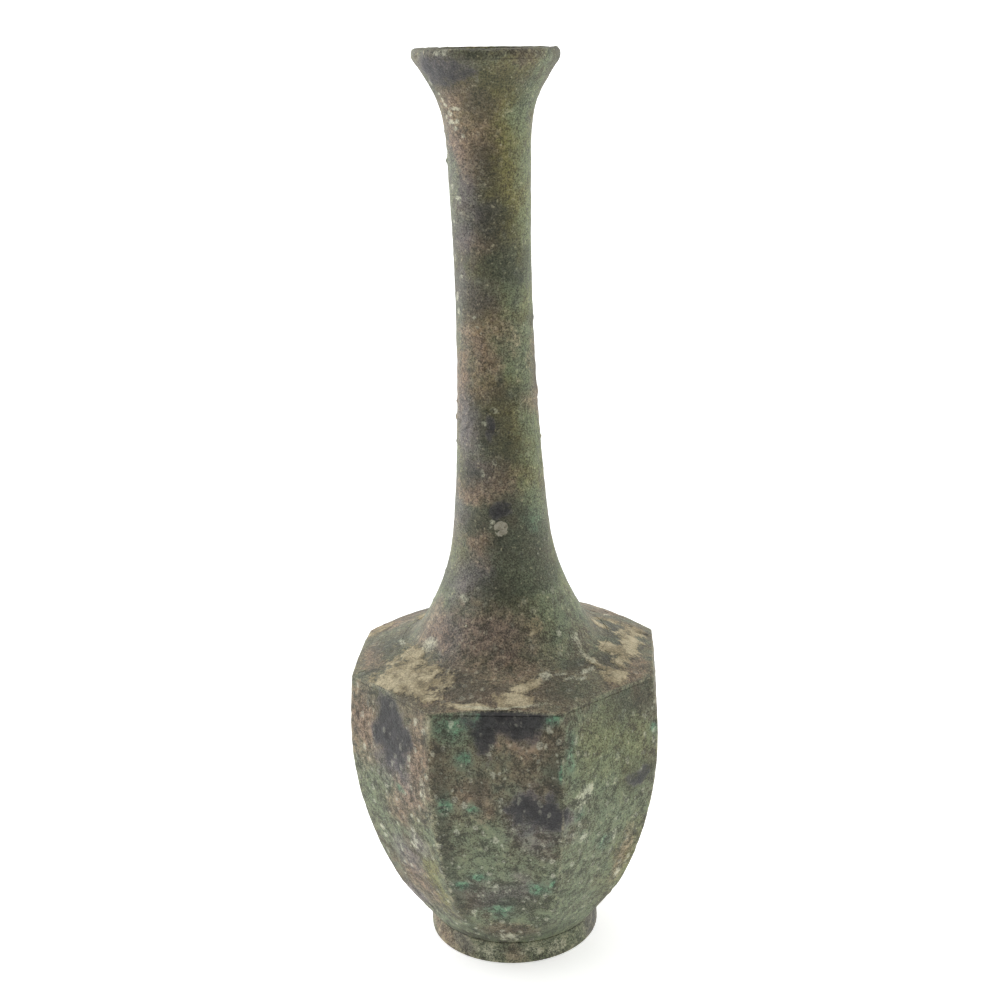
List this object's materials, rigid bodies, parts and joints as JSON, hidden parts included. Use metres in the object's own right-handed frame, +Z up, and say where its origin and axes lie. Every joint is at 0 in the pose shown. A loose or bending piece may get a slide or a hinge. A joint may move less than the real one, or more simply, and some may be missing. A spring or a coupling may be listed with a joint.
{
  "type": "bottle vase",
  "caption": "Cast bronze bottle vase with a tall trumpet neck, thick lip, sloping shoulder, faceted belly and short round foot, for holding liquid or a few stems.",
  "frame": {"origin": "centre of the foot ring on the floor", "axes": "+Z up along the vessel's axis to the mouth, -Y the flat of the body that faces the viewer in the picture, +X to the viewer's right"},
  "size_m": [0.0886, 0.0886, 0.2605],
  "materials": {
    "patinated_bronze": "matte",
    "plug_metal": "matte",
    "solder": "matte"
  },
  "bodies": {
    "root": {"mouth_rim": "patinated_bronze", "rim_solder": "solder", "neck": "patinated_bronze", "casting_plug": "plug_metal", "neck_solder": "solder", "shoulder": "patinated_bronze", "shoulder_solder": "solder", "body": "patinated_bronze", "foot_ring": "patinated_bronze", "foot_solder": "solder", "base_plate": "patinated_bronze", "base_solder": "solder"}
  },
  "joints": []
}
